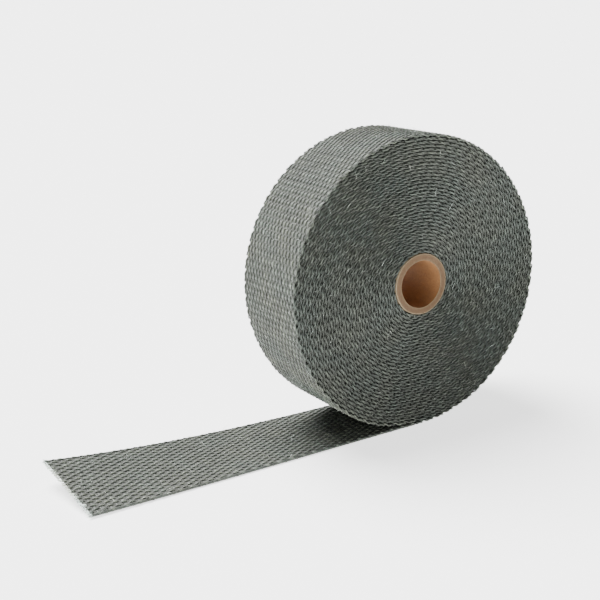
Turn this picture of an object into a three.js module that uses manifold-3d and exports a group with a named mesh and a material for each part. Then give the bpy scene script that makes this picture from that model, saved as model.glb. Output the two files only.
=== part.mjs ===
// Roll of woven exhaust heat wrap on its cardboard core. The roll stands on its edge with its axis
// along Y, and the loose end of the tape lies out flat along -X. Millimetres, +Z up. The origin is on
// the floor, under the middle of the whole.
import * as THREE from 'three';
import { mergeVertices } from 'three/addons/utils/BufferGeometryUtils.js';
import Module from 'manifold-3d';

const wasm = await Module();
wasm.setup();

// Tape
const tapeWidth = 50;
const tapeThickness = 1.8; // the turns lie on each other, so this is also the pitch of the winding
const turnCount = 34;
const grooveDepth = 0.7; // how far the joint between two turns lies below their rounded edges

// Cardboard core
const coreBoreRadius = 12.5;
const coreWall = 3.5;
const coreChamfer = 0.4;
const coreGap = 0.3; // between the core and the innermost turn

// Loose end, measured along the floor from under the roll's axis. Its outer half curls up a little,
// the far corner more than the near one.
const looseLength = 189;
const liftedLength = looseLength / 2;
const landingStart = 0.93; // where the outermost turn starts to come down on the loose end, as a share
const nearLift = 2;
const farLift = 8;

// Facets
const rollSides = 40;
const looseSteps = 16; // an even number, so that the curl starts at one of them
const bandOverlap = 0.25; // how deep the outermost turn reaches into the turns under it

// Sizes that follow
const coreRadius = coreBoreRadius + coreWall;
const tapeBoreRadius = coreRadius + coreGap;
const rollRadius = tapeBoreRadius + turnCount * tapeThickness;
const closedTurns = turnCount - 1;
const closedRadius = rollRadius - tapeThickness;
const sideAngle = (2 * Math.PI) / rollSides;

function toSolid(geometry) {
  geometry.deleteAttribute('normal');
  geometry.deleteAttribute('uv');
  const merged = mergeVertices(geometry, 1e-4);
  const vertProperties = new Float32Array(merged.attributes.position.array);
  const triVerts = new Uint32Array(merged.index.array);
  return new wasm.Manifold(new wasm.Mesh({ numProp: 3, vertProperties, triVerts }));
}

function toGeometry(solid) {
  const mesh = solid.getMesh();
  const geometry = new THREE.BufferGeometry();
  geometry.setAttribute('position', new THREE.BufferAttribute(mesh.vertProperties, 3));
  geometry.setIndex(new THREE.BufferAttribute(mesh.triVerts, 1));
  geometry.computeVertexNormals();
  return geometry;
}

// A closed profile turned about the roll's axis, with a side and not a corner at the bottom
function turned(profile) {
  const geometry = new THREE.LatheGeometry([...profile, profile[0].clone()], rollSides);
  return geometry.rotateY(sideAngle / 2).translate(0, 0, rollRadius);
}

// One end face of the closed turns: a groove at each joint and a rounded edge between two grooves
function endFace() {
  const half = tapeWidth / 2;
  const points = [new THREE.Vector2(tapeBoreRadius, half - grooveDepth)];
  for (let turn = 0; turn < closedTurns; turn += 1) {
    const inner = tapeBoreRadius + turn * tapeThickness;
    points.push(new THREE.Vector2(inner + tapeThickness / 2, half));
    points.push(new THREE.Vector2(inner + tapeThickness, half - grooveDepth));
  }
  return points;
}

// The turns under the outermost one
function closedRoll() {
  const far = endFace();
  const near = far.map((point) => new THREE.Vector2(point.x, -point.y));
  return turned([...near, ...far.reverse()]);
}

// The sides of the outermost turn touch the true round from outside, so the roll stands at its true
// height on the side at its bottom. On the last stretch the radius shrinks by one thickness, and the
// turn ends on top of the loose end.
function outerEdge() {
  const points = [];
  for (let corner = 0; corner < rollSides; corner += 1) {
    const share = THREE.MathUtils.smoothstep(corner / (rollSides - 1), landingStart, 1);
    const angle = (corner + 0.5) * sideAngle;
    const radius = (rollRadius - share * tapeThickness) / Math.cos(sideAngle / 2);
    points.push(new THREE.Vector2(radius * Math.sin(angle), rollRadius - radius * Math.cos(angle)));
  }
  return points;
}

// Where the closed turns go, a little smaller than they are, so that the outermost turn holds them.
// Its corners lie half a side round from theirs, so that no edge meets an edge.
function closedHole() {
  const points = [];
  for (let corner = 0; corner < rollSides; corner += 1) {
    const angle = corner * sideAngle;
    const radius = closedRadius * Math.cos(sideAngle / 2) - bandOverlap;
    points.push(new THREE.Vector2(radius * Math.sin(angle), rollRadius - radius * Math.cos(angle)));
  }
  return points;
}

// The outermost turn, from where the roll stands to where it comes down on the loose end
function outermostTurn() {
  const edge = outerEdge();
  const landing = edge[edge.length - 1];
  const shape = new THREE.Shape([...edge, new THREE.Vector2(landing.x, 0)]);
  shape.holes.push(new THREE.Path(closedHole()));
  const band = new THREE.ExtrudeGeometry(shape, { depth: tapeWidth, bevelEnabled: false });
  return band.rotateX(Math.PI / 2).translate(0, tapeWidth / 2, 0);
}

// The loose end, from under the roll's axis, with its free end lifted off the floor
function looseEnd() {
  const strip = new THREE.BoxGeometry(looseLength, tapeWidth, tapeThickness, looseSteps, 1, 1);
  strip.translate(-looseLength / 2, 0, tapeThickness / 2);
  const { position } = strip.attributes;
  for (let i = 0; i < position.count; i += 1) {
    const distance = -position.getX(i);
    const along = Math.max(0, distance - (looseLength - liftedLength)) / liftedLength;
    const across = position.getY(i) / tapeWidth + 0.5;
    const lift = (nearLift + (farLift - nearLift) * across) * along * along;
    position.setZ(i, position.getZ(i) + lift);
  }
  return strip;
}

function wovenTape() {
  return toGeometry(toSolid(closedRoll()).add(toSolid(outermostTurn())).add(toSolid(looseEnd())));
}

// The core is as long as the tape is wide, so its ends are flush with the turns
function cardboardCore() {
  const half = tapeWidth / 2;
  const section = [
    [coreBoreRadius, coreChamfer - half],
    [coreBoreRadius + coreChamfer, -half],
    [coreRadius - coreChamfer, -half],
    [coreRadius, coreChamfer - half],
    [coreRadius, half - coreChamfer],
    [coreRadius - coreChamfer, half],
    [coreBoreRadius + coreChamfer, half],
    [coreBoreRadius, half - coreChamfer],
  ];
  return toGeometry(toSolid(turned(section.map(([radius, along]) => new THREE.Vector2(radius, along)))));
}

const wovenGlass = new THREE.MeshStandardMaterial({ color: 0x7d827c, roughness: 0.75, metalness: 0 });
const cardboard = new THREE.MeshStandardMaterial({ color: 0xb08d5c, roughness: 0.9, metalness: 0 });

function piece(name, geometry, material) {
  const mesh = new THREE.Mesh(geometry, material);
  mesh.name = name;
  return mesh;
}

const heatWrap = new THREE.Group();
heatWrap.add(piece('woven_tape', wovenTape(), wovenGlass));
heatWrap.add(piece('cardboard_core', cardboardCore(), cardboard));

// The origin goes under the middle of the whole
const rightReach = Math.max(...outerEdge().map((point) => point.x));
heatWrap.position.x = (looseLength - rightReach) / 2;

export default heatWrap;
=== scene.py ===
# Roll of woven exhaust heat wrap on its cardboard core, with its loose end laid out on the floor.
# Every yarn is built in the tape's own coordinates, in metres: "along" it from the free end's cut,
# "across" it from its middle, and "out" towards the side that faces outwards on the roll. Then the tape
# is laid along the floor and wound into a spiral round the core.
import math

import bpy
import numpy as np
from mathutils import Matrix, Vector


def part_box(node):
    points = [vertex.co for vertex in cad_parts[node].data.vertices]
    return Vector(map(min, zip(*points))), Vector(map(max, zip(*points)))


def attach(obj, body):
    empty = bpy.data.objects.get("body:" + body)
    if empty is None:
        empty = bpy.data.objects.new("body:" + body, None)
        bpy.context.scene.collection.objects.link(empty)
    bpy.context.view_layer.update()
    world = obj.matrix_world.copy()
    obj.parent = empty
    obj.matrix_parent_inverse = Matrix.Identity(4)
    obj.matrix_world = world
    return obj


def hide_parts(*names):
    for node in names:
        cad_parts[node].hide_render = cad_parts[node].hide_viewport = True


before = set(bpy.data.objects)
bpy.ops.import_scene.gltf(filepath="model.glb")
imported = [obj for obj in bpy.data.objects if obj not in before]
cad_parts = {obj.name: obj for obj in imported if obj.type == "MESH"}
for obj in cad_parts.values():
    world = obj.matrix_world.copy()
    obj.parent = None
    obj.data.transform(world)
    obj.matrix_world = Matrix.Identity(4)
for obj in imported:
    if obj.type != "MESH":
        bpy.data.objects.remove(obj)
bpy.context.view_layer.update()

MM = 0.001
random = np.random.default_rng(7)

# Sizes from the frame
tape_low, tape_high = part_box("woven_tape")
core_low, core_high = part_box("cardboard_core")
AXIS_X = (core_low.x + core_high.x) / 2
ROLL_RADIUS = (core_low.z + core_high.z) / 2
TAPE_WIDTH = tape_high.y - tape_low.y
HALF_WIDTH = TAPE_WIDTH / 2
LOOSE_LENGTH = AXIS_X - tape_low.x

# Tape and core
TAPE_THICKNESS = 1.8 * MM
CORE_RADIUS = 16 * MM
CORE_BORE = 12.5 * MM
TAPE_BORE = CORE_RADIUS + 0.3 * MM

# Weave
WARP_COUNT = 32
WARP_PITCH = 1.545 * MM
PICK_PITCH = 3.45 * MM
WARP_HALF_WIDTH = 0.72 * MM
WARP_HALF_HEIGHT = 0.38 * MM
WARP_CRIMP = 0.5 * MM
WEFT_HALF_WIDTH = 0.85 * MM
WEFT_HALF_HEIGHT = 0.3 * MM
WEFT_CRIMP = 0.16 * MM

# Edges of the tape: the weft's loops, the cord along the loose end, and the closed strip of painted shade
# inside
LOOP_INSET = 1.35 * MM
LOOP_REACH = 0.85 * MM
LOOP_SLANT = 0.58 * MM
LOOP_HALF_WIDTH = 0.5 * MM
LOOP_HALF_HEIGHT = 0.4 * MM
CORD_INSET = 0.8 * MM
CORD_HALF_WIDTH = 0.45 * MM
CORD_HALF_HEIGHT = 0.72 * MM
GAP_SHADE_EDGE_INSET = 1.35 * MM
GAP_SHADE_MIDDLE_INSET = 5 * MM
GAP_SHADE_HALF_HEIGHT = 0.22 * MM

# Loose end
NEAR_LIFT = 0.4 * MM
FAR_LIFT = 10.5 * MM
CURL_START = 0.62  # share of the loose end's length
CUT_SKEW = 2 * MM

# Fibres
FIBRES_PER_END = 12
STRAYS_ON_WEAVE = 420
STRAYS_ON_ENDS = 260
STRAY_RADIUS = 0.045 * MM

# Light and camera
SKY_AT_HORIZON = 4.2
SKY_ABOVE = 0.25
SKY_FADE_END = 0.2  # height of a direction on the unit sphere
SUN_ENERGY = 10
SUN_ANGLE = math.radians(42)
SUN_DIRECTION = (0.12, -0.55, -1)
FLOOR_REACH = 40
FLOOR_GLOW = 1.9
CAMERA_AZIMUTH = math.radians(-31.09)
CAMERA_ELEVATION = math.radians(16.05)
CAMERA_ROLL = math.radians(-2.18)
CAMERA_DISTANCE = 565.43 * MM
CAMERA_LENS = 66.54
TARGET_FROM_AXIS = 58.54 * MM
TARGET_HEIGHT = 74.05 * MM

# The winding: how the radius of the tape's middle layer shrinks, and how long the tape is
MIDDLE_RADIUS = ROLL_RADIUS - TAPE_THICKNESS / 2
TURNS = int((ROLL_RADIUS - TAPE_BORE) / TAPE_THICKNESS + 0.5)
LANDING_START = 0.93


def wound_radius(angle):
    """Radius of the tape's middle layer. Each turn keeps its radius, then comes down by one thickness."""
    turn, share = np.divmod(angle / (2 * math.pi), 1)
    landing = np.clip((share - LANDING_START) / (1 - LANDING_START), 0, 1)
    return MIDDLE_RADIUS - TAPE_THICKNESS * (turn + landing**2 * (3 - 2 * landing))


ANGLES = np.linspace(0, 2 * math.pi * TURNS, TURNS * 360 + 1)
STEPS = np.diff(ANGLES) * wound_radius((ANGLES[1:] + ANGLES[:-1]) / 2)
LENGTHS = np.concatenate([[0], np.cumsum(STEPS)])


def wound_length(angle):
    return np.interp(angle, ANGLES, LENGTHS)


def wound_angle(length):
    return np.interp(length, LENGTHS, ANGLES)


FIRST_TURN_END = LOOSE_LENGTH + wound_length(2 * math.pi)
TAPE_LENGTH = LOOSE_LENGTH + wound_length(2 * math.pi * TURNS)


def lift(distance, across):
    """How far the loose end is off the floor, at a distance from under the roll's axis."""
    share = np.clip(distance / LOOSE_LENGTH, 0, None)
    curl = np.clip(share - CURL_START, 0, None) / (1 - CURL_START)
    far = across / TAPE_WIDTH + 0.5
    return NEAR_LIFT * curl**2 + (FAR_LIFT - NEAR_LIFT) * far * share**2.4


def place(points):
    """Tape coordinates to the row frame. The last axis holds along, across and out."""
    along, across, out = points[..., 0], points[..., 1], points[..., 2]
    distance = LOOSE_LENGTH - along
    share = np.clip(distance / LOOSE_LENGTH, 0, None)
    reach = distance + CUT_SKEW * (across / HALF_WIDTH) * share**2
    laid_x = AXIS_X - reach
    laid_z = TAPE_THICKNESS / 2 - out + lift(distance, across)
    angle = wound_angle(np.clip(-distance, 0, None))
    radius = wound_radius(angle) + out
    wound = distance < 0
    x = np.where(wound, AXIS_X + radius * np.sin(angle), laid_x)
    z = np.where(wound, ROLL_RADIUS - radius * np.cos(angle), laid_z)
    return np.stack([x, across, z], axis=-1)


def make_object(name, vertices, corners, starts, material, smooth=True):
    """A mesh object from flat arrays: the vertices, every face's corners in a row, and where each starts."""
    mesh = bpy.data.meshes.new(name)
    mesh.vertices.add(len(vertices))
    mesh.vertices.foreach_set("co", vertices.astype(np.float32).ravel())
    mesh.loops.add(len(corners))
    mesh.loops.foreach_set("vertex_index", corners.astype(np.int32))
    mesh.polygons.add(len(starts))
    mesh.polygons.foreach_set("loop_start", starts.astype(np.int32))
    mesh.polygons.foreach_set("use_smooth", np.full(len(starts), smooth))
    mesh.update(calc_edges=True)
    mesh.materials.append(material)
    obj = bpy.data.objects.new(name, mesh)
    bpy.context.scene.collection.objects.link(obj)
    return obj


def add_attribute(obj, name, kind, field, values):
    attribute = obj.data.attributes.new(name, kind, "POINT")
    attribute.data.foreach_set(field, values.astype(np.float32).ravel())


def tube_faces(tubes, rings, sides):
    """Corners and starts of closed tubes whose vertices lie in a row by tube, ring and side."""
    first = np.arange(tubes)[:, None, None] * rings * sides
    ring = np.arange(rings - 1)[None, :, None] * sides
    side = np.arange(sides)[None, None, :]
    following = (side + 1) % sides
    base = first + ring
    quads = np.stack(
        [base + side, base + following, base + sides + following, base + sides + side], axis=-1
    ).reshape(-1)
    caps = np.arange(sides)[None, :]
    first_caps = (first[:, 0] + caps[:, ::-1]).reshape(-1)
    last_caps = (first[:, 0] + (rings - 1) * sides + caps).reshape(-1)
    quad_count = tubes * (rings - 1) * sides
    starts = np.concatenate(
        [np.arange(quad_count) * 4, quad_count * 4 + np.arange(tubes * 2) * sides]
    )
    return np.concatenate([quads, first_caps, last_caps]), starts


class Yarns:
    """Collects yarns, which are flattened tubes, and makes one object of them."""

    def __init__(self):
        self.vertices = []
        self.fibres = []
        self.tones_and_shade = []
        self.corners = []
        self.starts = []
        self.vertex_count = 0
        self.corner_count = 0

    def add(self, paths, half_width, half_height, sides, twist_length=14 * MM, tone_and_shade=None):
        """paths is yarns x points x 3, in tape coordinates; the halves fit yarns x points."""
        tubes, rings = paths.shape[:2]
        forward = np.gradient(paths, axis=1)
        flat = np.hypot(forward[..., 0], forward[..., 1])[..., None] + 1e-12
        beside = np.stack([-forward[..., 1], forward[..., 0], 0 * forward[..., 0]], axis=-1) / flat
        steps = np.linalg.norm(np.diff(paths, axis=1), axis=-1)
        run = np.concatenate([np.zeros((tubes, 1)), np.cumsum(steps, axis=1)], axis=1)
        turn = np.arange(sides) * 2 * math.pi / sides + math.pi / sides
        wide = np.broadcast_to(half_width, (tubes, rings))[..., None] * np.cos(turn)
        high = np.broadcast_to(half_height, (tubes, rings))[..., None] * np.sin(turn)
        rim = paths[:, :, None, :] + beside[:, :, None, :] * wide[..., None]
        rim = rim + high[..., None] * np.array([0.0, 0.0, 1.0])
        tone_and_shade = random.uniform(0, 1, tubes) if tone_and_shade is None else tone_and_shade
        tone_and_shade = np.broadcast_to(tone_and_shade.reshape(tubes, -1), (tubes, rings))
        twist = 2 * math.pi * run[..., None] / twist_length
        seed = tone_and_shade[..., None] * 0.37
        fibre = np.stack(
            [
                np.broadcast_to(run[..., None], wide.shape) + seed,
                wide * np.cos(twist) - high * np.sin(twist) + seed,
                wide * np.sin(twist) + high * np.cos(twist),
            ],
            axis=-1,
        )
        corners, starts = tube_faces(tubes, rings, sides)
        self.vertices.append(place(rim).reshape(-1, 3))
        self.fibres.append(fibre.reshape(-1, 3))
        self.tones_and_shade.append(np.repeat(tone_and_shade.reshape(-1), sides))
        self.corners.append(corners + self.vertex_count)
        self.starts.append(starts + self.corner_count)
        self.vertex_count += tubes * rings * sides
        self.corner_count += len(corners)

    def make(self, name, material):
        vertices = np.concatenate(self.vertices)
        corners = np.concatenate(self.corners)
        starts = np.concatenate(self.starts)
        obj = make_object(name, vertices, corners, starts, material)
        add_attribute(obj, "fibre", "FLOAT_VECTOR", "vector", np.concatenate(self.fibres))
        add_attribute(obj, "tone_and_shade", "FLOAT", "value", np.concatenate(self.tones_and_shade))
        return obj


def wander(along, size, length):
    """Smooth waviness along the tape: a few sine waves that never line up."""
    waves = np.sin(along / length + 1.3) + 0.6 * np.sin(along / (0.43 * length) + 0.4)
    return size * (waves + 0.4 * np.sin(along / (0.19 * length) + 2.1)) / 2


def edge_shift(along):
    """How far a turn's edge stands out of the roll's end face, because the tape is never wound dead true."""
    on_roll = np.clip((along - LOOSE_LENGTH) / (20 * MM), 0, 1)
    return on_roll * (wander(along, 0.22 * MM, 61 * MM) + wander(along, 0.12 * MM, 11 * MM))


def warp_across(end):
    return (end - (WARP_COUNT - 1) / 2) * WARP_PITCH


def warp_out(along, end):
    """Height of a warp end, which passes over one pick and under the next."""
    wave = np.cos(math.pi * (along / PICK_PITCH + end))
    return WARP_CRIMP * np.clip(wave * 1.12, -1, 1)


# Materials
def node_tree(name):
    material = bpy.data.materials.new(name)
    material.use_nodes = True
    return material, material.node_tree.nodes, material.node_tree.links


def add_ramp(nodes, stops):
    ramp = nodes.new("ShaderNodeValToRGB")
    while len(ramp.color_ramp.elements) < len(stops):
        ramp.color_ramp.elements.new(0.5)
    for element, (position, colour) in zip(ramp.color_ramp.elements, stops):
        element.position = position
        element.color = (*colour, 1)
    return ramp


def add_noise(nodes, links, vector, scale, stretch=(1, 1, 1), detail=3):
    mapping = nodes.new("ShaderNodeMapping")
    mapping.inputs["Scale"].default_value = [scale * share for share in stretch]
    noise = nodes.new("ShaderNodeTexNoise")
    noise.inputs["Scale"].default_value = 1
    noise.inputs["Detail"].default_value = detail
    links.new(vector, mapping.inputs["Vector"])
    links.new(mapping.outputs["Vector"], noise.inputs["Vector"])
    return noise.outputs["Fac"]


def add_multiply(nodes, links, first, second, factor=1.0):
    mix = nodes.new("ShaderNodeMix")
    mix.data_type = "RGBA"
    mix.blend_type = "MULTIPLY"
    mix.inputs[0].default_value = factor
    links.new(first, mix.inputs[6])
    links.new(second, mix.inputs[7])
    return mix.outputs[2]


def yarn_material(name, dark, pale, sheen):
    """Glassy yarn: fine streaks that run along its fibres, tints that drift over the roll, and a tone that
    carries random tone and painted shade.
    """
    material, nodes, links = node_tree(name)
    shader = nodes["Principled BSDF"]
    fibre = nodes.new("ShaderNodeAttribute")
    fibre.attribute_name = "fibre"
    tone_and_shade = nodes.new("ShaderNodeAttribute")
    tone_and_shade.attribute_name = "tone_and_shade"
    streak = add_noise(nodes, links, fibre.outputs["Vector"], 1 / (0.16 * MM), (0.06, 1, 1), 4)
    colour = add_ramp(nodes, [(0.3, dark), (0.68, pale)])
    links.new(streak, colour.inputs["Fac"])
    # The tone multiplies the colour: low values are painted shade, high values a painted highlight, besides
    # random tone.
    shade = add_ramp(nodes, [(0.0, (0.22, 0.22, 0.21)), (0.55, (0.95, 0.95, 0.95)), (1.0, (1.6, 1.6, 1.56))])
    links.new(tone_and_shade.outputs["Fac"], shade.inputs["Fac"])
    place_in = nodes.new("ShaderNodeTexCoord").outputs["Object"]
    patch = add_noise(nodes, links, place_in, 55, detail=2)
    tint = add_ramp(nodes, [(0.36, (0.93, 1.0, 0.98)), (0.64, (1.03, 1.0, 0.91))])
    links.new(patch, tint.inputs["Fac"])
    colour_with_shade = add_multiply(nodes, links, colour.outputs["Color"], shade.outputs["Color"])
    tinted = add_multiply(nodes, links, colour_with_shade, tint.outputs["Color"])
    links.new(tinted, shader.inputs["Base Color"])
    rough = add_ramp(nodes, [(0.3, (0.62,) * 3), (0.7, (0.38,) * 3)])
    links.new(streak, rough.inputs["Fac"])
    links.new(rough.outputs["Color"], shader.inputs["Roughness"])
    shader.inputs["Sheen Weight"].default_value = sheen
    shader.inputs["Sheen Roughness"].default_value = 0.4
    bump = nodes.new("ShaderNodeBump")
    bump.inputs["Strength"].default_value = 0.6
    bump.inputs["Distance"].default_value = 0.08 * MM
    links.new(streak, bump.inputs["Height"])
    links.new(bump.outputs["Normal"], shader.inputs["Normal"])
    return material


def gap_shade_material():
    """A dark sheet inside the weave, its colour painted shade, which shows only in its gaps."""
    material, nodes, links = node_tree("painted_gap_shade")
    shader = nodes["Principled BSDF"]
    place_in = nodes.new("ShaderNodeTexCoord").outputs["Object"]
    grain = add_noise(nodes, links, place_in, 1 / (0.6 * MM), detail=4)
    colour = add_ramp(nodes, [(0.3, (0.045, 0.049, 0.041)), (0.7, (0.1, 0.106, 0.092))])
    links.new(grain, colour.inputs["Fac"])
    links.new(colour.outputs["Color"], shader.inputs["Base Color"])
    shader.inputs["Roughness"].default_value = 0.85
    return material


def cardboard_material():
    """Spirally wound cardboard: plies on the cut ends, paler rims and a brown bore."""
    material, nodes, links = node_tree("kraft_cardboard")
    shader = nodes["Principled BSDF"]
    wall = nodes.new("ShaderNodeAttribute")
    wall.attribute_name = "wall"
    place_in = nodes.new("ShaderNodeTexCoord").outputs["Object"]
    tan, cream = (0.13, 0.083, 0.038), (0.32, 0.25, 0.16)
    layers = add_ramp(
        nodes,
        [
            (0.0, (0.26, 0.125, 0.045)),
            (0.02, tan),
            (0.05, (0.2, 0.145, 0.08)),
            (0.1, tan),
            (0.5, (0.11, 0.06, 0.027)),
            (0.9, tan),
            (0.96, cream),
            (1.0, cream),
        ],
    )
    links.new(wall.outputs["Fac"], layers.inputs["Fac"])
    fibres = add_noise(nodes, links, place_in, 1 / (0.7 * MM), detail=5)
    grain = add_ramp(nodes, [(0.25, (0.72, 0.68, 0.62)), (0.75, (1.12, 1.12, 1.12))])
    links.new(fibres, grain.inputs["Fac"])
    colour = add_multiply(nodes, links, layers.outputs["Color"], grain.outputs["Color"])
    links.new(colour, shader.inputs["Base Color"])
    shader.inputs["Roughness"].default_value = 0.8
    bump = nodes.new("ShaderNodeBump")
    bump.inputs["Strength"].default_value = 0.5
    bump.inputs["Distance"].default_value = 0.12 * MM
    links.new(fibres, bump.inputs["Height"])
    links.new(bump.outputs["Normal"], shader.inputs["Normal"])
    return material


glass_yarn = yarn_material("glass_yarn", (0.024, 0.03, 0.024), (0.19, 0.215, 0.178), 0.25)
# The edge yarn is the same glass yarn, painted darker as shade for the roll's end faces.
shaded_edge_yarn = yarn_material("shaded_edge_yarn", (0.036, 0.044, 0.036), (0.085, 0.098, 0.083), 0.03)
cut_yarn = yarn_material("cut_yarn", (0.4, 0.44, 0.42), (0.8, 0.85, 0.82), 0.2)
painted_gap_shade = gap_shade_material()
kraft_cardboard = cardboard_material()


def make_gap_shade_strip():
    """The closed strip of painted shade inside the weave, from the cut to the core. On the inner turns it is
    thicker.
    """
    loose = np.linspace(0, LOOSE_LENGTH, 60, endpoint=False)
    rolled = LOOSE_LENGTH + wound_length(np.linspace(0, 2 * math.pi * TURNS, TURNS * 72 + 1))
    along = np.concatenate([loose, rolled])
    inner = np.clip((along - FIRST_TURN_END) / (8 * MM), 0, 1)
    high = GAP_SHADE_HALF_HEIGHT + inner * (TAPE_THICKNESS / 2 - 0.23 * MM)
    edge, middle = HALF_WIDTH - GAP_SHADE_EDGE_INSET, HALF_WIDTH - GAP_SHADE_MIDDLE_INSET
    low = GAP_SHADE_HALF_HEIGHT + inner * 0.5 * MM
    ring = [(-edge, -low), (-middle, -high), (middle, -high), (edge, -low)]
    ring += [(edge, low), (middle, high), (-middle, high), (-edge, low)]
    rim = np.stack(
        [np.stack([along, across + 0 * along, out + 0 * along], axis=-1) for across, out in ring],
        axis=1,
    )
    vertices = place(rim).reshape(-1, 3)
    corners, starts = tube_faces(1, len(along), len(ring))
    obj = make_object("tape_gap_shade", vertices, corners, starts, painted_gap_shade, smooth=False)
    return obj


def make_warp(name, first_end):
    """Every second warp end of the loose end and the outermost turn."""
    yarns = Yarns()
    ends = np.arange(first_end, WARP_COUNT, 2)[:, None]
    steps = int(4 * (FIRST_TURN_END + 6 * MM) / PICK_PITCH)
    along = np.arange(steps)[None, :] * PICK_PITCH / 4 - 0.6 * MM
    along = along + 0 * ends
    phase = along / PICK_PITCH + ends
    wave = np.cos(math.pi * phase) ** 2
    floats = np.floor((phase + 1) / 2).astype(int)
    of_float = random.normal(0, 1, (len(ends), floats.max() + 1, 3))[np.arange(len(ends))[:, None], floats]
    jitter = random.normal(0, 1, along.shape)
    across = warp_across(ends) + (0.03 * jitter + 0.1 * of_float[..., 0]) * MM
    across = across + edge_shift(along) * (np.abs(warp_across(ends)) > 20 * MM)
    out = warp_out(along, ends)
    width = WARP_HALF_WIDTH * (0.68 + 0.3 * wave) * (1 + 0.11 * of_float[..., 1]) + 0.02 * MM * jitter
    # Painted shade: the warp is darker where it dips between the picks and lighter on its floats, over a
    # random tone.
    tone_and_shade = 0.06 + 0.56 * wave**0.8 + 0.12 * random.normal(0, 1, along.shape)
    tone_and_shade = tone_and_shade + 0.06 * random.normal(0, 1, ends.shape) + 0.13 * of_float[..., 2]
    yarns.add(np.stack([along, across, out], axis=-1), width, WARP_HALF_HEIGHT, 6, tone_and_shade=np.clip(tone_and_shade, 0, 1))
    return yarns.make(name, glass_yarn)


def make_weft():
    """The picks of the loose end and the outermost turn."""
    yarns = Yarns()
    picks = np.arange(1, int((FIRST_TURN_END + 4 * MM) / PICK_PITCH))[:, None]
    steps = 2 * WARP_COUNT - 1
    across = np.linspace(warp_across(0), warp_across(WARP_COUNT - 1), steps)[None, :] + 0 * picks
    ends = (across - warp_across(0)) / WARP_PITCH
    out = -WEFT_CRIMP * np.cos(math.pi * (picks + ends))
    along = picks * PICK_PITCH + 0.08 * MM * random.normal(0, 1, across.shape)
    # Painted shade: the picks are given a low tone because they lie deep in the weave's gaps.
    tone_and_shade = np.clip(random.normal(0.1, 0.08, picks.shape), 0, 1)
    yarns.add(np.stack([along, across, out], axis=-1), WEFT_HALF_WIDTH, WEFT_HALF_HEIGHT, 5, tone_and_shade=tone_and_shade)
    return yarns.make("weft_picks", glass_yarn)


def make_selvage(name, side):
    """One edge of the whole tape: the inner turns' outermost warp end, a cord and the weft's loops."""
    yarns = Yarns()
    end = 0 if side < 0 else WARP_COUNT - 1
    edge = warp_across(end)
    inner_start = FIRST_TURN_END - 4 * MM
    steps = int(3 * (TAPE_LENGTH - inner_start) / PICK_PITCH)
    along = inner_start + np.arange(steps)[None, :] * PICK_PITCH / 3
    across = edge + edge_shift(along)
    out = warp_out(along, end)
    tone_and_shade = np.clip(0.35 + 0.1 * random.normal(0, 1, along.shape), 0, 1)
    path = np.stack([along, across, out], axis=-1)
    yarns.add(path, WARP_HALF_WIDTH, WARP_HALF_HEIGHT, 5, tone_and_shade=tone_and_shade)

    cord = np.arange(int(LOOSE_LENGTH / PICK_PITCH) * 2)[None, :] * PICK_PITCH / 2
    tone_and_shade = np.clip(0.42 + 0.12 * random.normal(0, 1, cord.shape), 0, 1)
    path = np.stack([cord, side * (HALF_WIDTH - CORD_INSET) + 0 * cord, 0.1 * MM + 0 * cord], axis=-1)
    yarns.add(path, CORD_HALF_WIDTH, CORD_HALF_HEIGHT, 6, tone_and_shade=tone_and_shade)

    first_pick = 2 if side < 0 else 1
    picks = np.arange(first_pick, int(TAPE_LENGTH / PICK_PITCH) - 1, 2)[:, None]
    loops = len(picks)
    bend = np.linspace(0, 1, 8)[None, :]
    swing = np.pi * bend
    jitter = random.normal(0, 1, (loops, 4))
    middle = (picks + 0.5) * PICK_PITCH + 0.2 * MM * jitter[:, :1]
    half = PICK_PITCH / 2 * (1 + 0.08 * jitter[:, 1:2])
    along = middle - half * np.cos(swing)
    across = side * (HALF_WIDTH - LOOP_INSET + LOOP_REACH * np.sin(swing) ** 0.5) + edge_shift(along)
    slant = LOOP_SLANT * (1 + 0.22 * jitter[:, 2:3])
    out = slant * (2 * bend - 1) + 0.05 * MM * jitter[:, 3:4]
    # Painted shade: each loop is darker towards its ends, where it turns into the weave.
    tone_and_shade = random.normal(0.5, 0.15, (loops, 1)) * (0.35 + 0.75 * np.sin(swing))
    path = np.stack([along, across, out], axis=-1)
    yarns.add(path, LOOP_HALF_WIDTH, LOOP_HALF_HEIGHT, 5, tone_and_shade=np.clip(tone_and_shade, 0, 1))
    return yarns.make(name, shaded_edge_yarn)


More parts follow.
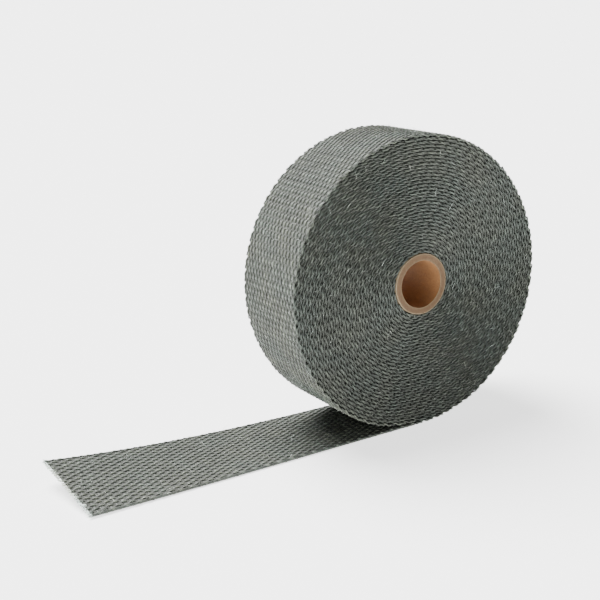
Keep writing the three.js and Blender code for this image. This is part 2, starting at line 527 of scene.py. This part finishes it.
def make_cut_end():
    """Frayed warp ends at the cut: each is a blunt pale tip inside a small fan of fibres."""
    yarns = Yarns()
    ends = np.repeat(np.arange(WARP_COUNT), FIBRES_PER_END)[:, None]
    count = len(ends)
    run = np.linspace(0, 1, 5)[None, :]
    reach = random.uniform(0.6, 2.2, (count, 1)) * MM
    fan = random.normal(0, 0.34, (count, 1)) * MM
    rise = random.normal(0, 0.3, (count, 1)) * MM
    along = 0.7 * MM - (reach + 0.7 * MM) * run
    across = warp_across(ends) + random.normal(0, 0.32, (count, 1)) * MM + fan * run**1.5
    out = 0.55 * warp_out(along, ends) + random.normal(0, 0.18, (count, 1)) * MM + rise * run**2
    tone_and_shade = np.clip(random.normal(0.6, 0.2, count), 0, 1)
    path = np.stack([along, across, out], axis=-1)
    yarns.add(path, 0.14 * MM * (1.1 - 0.6 * run), 0.11 * MM * (1.1 - 0.6 * run), 4, tone_and_shade=tone_and_shade)
    ends = np.arange(WARP_COUNT)[:, None]
    reach = random.uniform(0.9, 1.9, (WARP_COUNT, 1)) * MM
    along = 0.8 * MM - (reach + 0.8 * MM) * run
    across = warp_across(ends) + random.normal(0, 0.15, (WARP_COUNT, 1)) * MM * run
    out = 0.7 * warp_out(along, ends) + random.normal(0, 0.15, (WARP_COUNT, 1)) * MM * run
    tone_and_shade = np.clip(random.normal(0.7, 0.15, WARP_COUNT), 0, 1)
    path = np.stack([along, across, out], axis=-1)
    yarns.add(path, 0.62 * MM, 0.42 * MM, 8, tone_and_shade=tone_and_shade)
    return yarns.make("cut_end_fibres", cut_yarn)


def make_stray_fibres():
    """Single broken fibres that stand up from the weave and out of the roll's end faces."""
    yarns = Yarns()
    run = np.linspace(0, 1, 6)[None, :]
    laid = random.uniform(0, LOOSE_LENGTH - 45 * MM, (STRAYS_ON_WEAVE // 3, 1))
    wound = random.uniform(LOOSE_LENGTH + 40 * MM, FIRST_TURN_END - 50 * MM, (STRAYS_ON_WEAVE - len(laid), 1))
    start = np.concatenate([laid, wound])
    across = random.uniform(-HALF_WIDTH, HALF_WIDTH, (STRAYS_ON_WEAVE, 1))
    reach = random.normal(0, 2.2, (STRAYS_ON_WEAVE, 2)) * MM
    height = random.uniform(0.3, 1.6, (STRAYS_ON_WEAVE, 1)) * MM
    upwards = np.where(start < LOOSE_LENGTH, -1.0, 1.0)
    along = start + reach[:, :1] * run
    across = across + reach[:, 1:] * run
    out = upwards * (0.7 * MM + height * np.sin(math.pi * 0.75 * run))
    yarns.add(np.stack([along, across, out], axis=-1), STRAY_RADIUS, STRAY_RADIUS, 3)
    start = random.uniform(FIRST_TURN_END + 20 * MM, TAPE_LENGTH, (STRAYS_ON_ENDS, 1))
    side = random.choice([-1.0, 1.0], (STRAYS_ON_ENDS, 1))
    reach = random.normal(0, 1.8, (STRAYS_ON_ENDS, 2)) * MM
    along = start + reach[:, :1] * run
    out = reach[:, 1:] * run
    across = side * (HALF_WIDTH - 0.4 * MM + random.uniform(0.4, 1.2, (STRAYS_ON_ENDS, 1)) * MM * run)
    yarns.add(np.stack([along, across, out], axis=-1), STRAY_RADIUS, STRAY_RADIUS, 3)
    return yarns.make("stray_fibres", cut_yarn)


def make_core():
    """The cardboard core: its cut ends show the plies, and its rims are crisp."""
    wall = CORE_RADIUS - CORE_BORE
    plies = 10
    face = [(0.0, -0.35 * MM), (0.03, -0.05 * MM)]
    for ply in range(plies):
        for share, depth in ((0.12, 0.0), (0.6, 0.02 * MM), (0.92, 0.13 * MM)):
            face.append((0.05 + 0.9 * (ply + share) / plies, -depth))
    face += [(0.97, -0.03 * MM), (1.0, -0.3 * MM)]
    near = [(share, -HALF_WIDTH - depth) for share, depth in face]
    far = [(share, HALF_WIDTH + depth) for share, depth in reversed(face)]
    section = near + far
    sides = 144
    angle = np.arange(sides + 1)[:, None] * 2 * math.pi / sides
    share = np.array([point[0] for point in section])[None, :]
    across = np.array([point[1] for point in section])[None, :] + 0 * angle
    wobble = 0.08 * MM * np.sin(3 * angle + 0.7) + 0.05 * MM * np.sin(7 * angle)
    radius = CORE_BORE + wall * share + wobble
    x = AXIS_X + radius * np.sin(angle)
    z = ROLL_RADIUS - radius * np.cos(angle)
    vertices = np.stack([x[:-1], across[:-1], z[:-1]], axis=-1).reshape(-1, 3)
    count = len(section)
    step = np.arange(sides)[:, None] * count
    point = np.arange(count)[None, :]
    following = (point + 1) % count
    ahead = (step + count) % (sides * count)
    quads = np.stack([step + point, ahead + point, ahead + following, step + following], axis=-1)
    starts = np.arange(sides * count) * 4
    obj = make_object("core_tube", vertices, quads.reshape(-1), starts, kraft_cardboard)
    add_attribute(obj, "wall", "FLOAT", "value", np.tile(share[0], sides))
    return obj


def make_camera():
    """The photograph's view: azimuth, elevation, distance and a slight roll, fitted to its outlines."""
    azimuth, elevation, roll = CAMERA_AZIMUTH, CAMERA_ELEVATION, CAMERA_ROLL
    target = Vector((AXIS_X - TARGET_FROM_AXIS, 0, TARGET_HEIGHT))
    back = Vector(
        (
            math.sin(azimuth) * math.cos(elevation),
            -math.cos(azimuth) * math.cos(elevation),
            math.sin(elevation),
        )
    )
    right = (-back).cross(Vector((0, 0, 1))).normalized()
    up = right.cross(-back)
    turned_right = right * math.cos(roll) + up * math.sin(roll)
    turned_up = up * math.cos(roll) - right * math.sin(roll)
    data = bpy.data.cameras.new("camera")
    data.sensor_width = 36
    data.lens = CAMERA_LENS
    data.clip_start = 0.01
    data.clip_end = 50
    camera = bpy.data.objects.new("camera", data)
    axes = Matrix((turned_right, turned_up, back)).transposed().to_4x4()
    camera.matrix_world = Matrix.Translation(target + back * CAMERA_DISTANCE) @ axes
    bpy.context.scene.collection.objects.link(camera)
    bpy.context.scene.camera = camera


def make_studio():
    """A pale floor, a sky that is bright at the horizon, and one broad light from above and behind."""
    floor_mesh = bpy.data.meshes.new("floor")
    reach = FLOOR_REACH
    corners = [(-reach, -reach, 0), (reach, -reach, 0), (reach, reach, 0), (-reach, reach, 0)]
    floor_mesh.from_pydata(corners, [], [(0, 1, 2, 3)])
    floor = bpy.data.objects.new("floor", floor_mesh)
    material, nodes, links = node_tree("pale_floor")
    shader = nodes["Principled BSDF"]
    shader.inputs["Base Color"].default_value = (0.92, 0.92, 0.92, 1)
    shader.inputs["Roughness"].default_value = 0.9
    shader.inputs["Emission Color"].default_value = (1, 1, 1, 1)
    shader.inputs["Emission Strength"].default_value = FLOOR_GLOW
    floor_mesh.materials.append(material)
    bpy.context.scene.collection.objects.link(floor)
    world = bpy.data.worlds.new("studio")
    world.use_nodes = True
    nodes, links = world.node_tree.nodes, world.node_tree.links
    nodes["Background"].inputs["Color"].default_value = (1, 1, 1, 1)
    direction = nodes.new("ShaderNodeTexCoord").outputs["Generated"]
    height = nodes.new("ShaderNodeSeparateXYZ")
    fade = nodes.new("ShaderNodeMapRange")
    fade.inputs["From Min"].default_value = 0
    fade.inputs["From Max"].default_value = SKY_FADE_END
    fade.inputs["To Min"].default_value = SKY_AT_HORIZON
    fade.inputs["To Max"].default_value = SKY_ABOVE
    links.new(direction, height.inputs["Vector"])
    links.new(height.outputs["Z"], fade.inputs["Value"])
    links.new(fade.outputs["Result"], nodes["Background"].inputs["Strength"])
    bpy.context.scene.world = world
    sun = bpy.data.lights.new("soft_sky", "SUN")
    sun.energy = SUN_ENERGY
    sun.angle = SUN_ANGLE
    light = bpy.data.objects.new("soft_sky", sun)
    light.rotation_euler = Vector(SUN_DIRECTION).to_track_quat("-Z", "Y").to_euler()
    bpy.context.scene.collection.objects.link(light)


make_camera()
make_studio()
gap_shade_strip = make_gap_shade_strip()
warp_even = make_warp("warp_even", 0)
warp_odd = make_warp("warp_odd", 1)
weft = make_weft()
near_selvage = make_selvage("near_selvage", -1)
far_selvage = make_selvage("far_selvage", 1)
cut_end = make_cut_end()
stray_fibres = make_stray_fibres()
core = make_core()
tape_pieces = [warp_even, warp_odd, weft, near_selvage, far_selvage, cut_end, stray_fibres]
for piece in [gap_shade_strip, *tape_pieces, core]:
    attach(piece, "root")
for piece in [gap_shade_strip, *tape_pieces]:
    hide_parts("woven_tape")
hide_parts("cardboard_core")
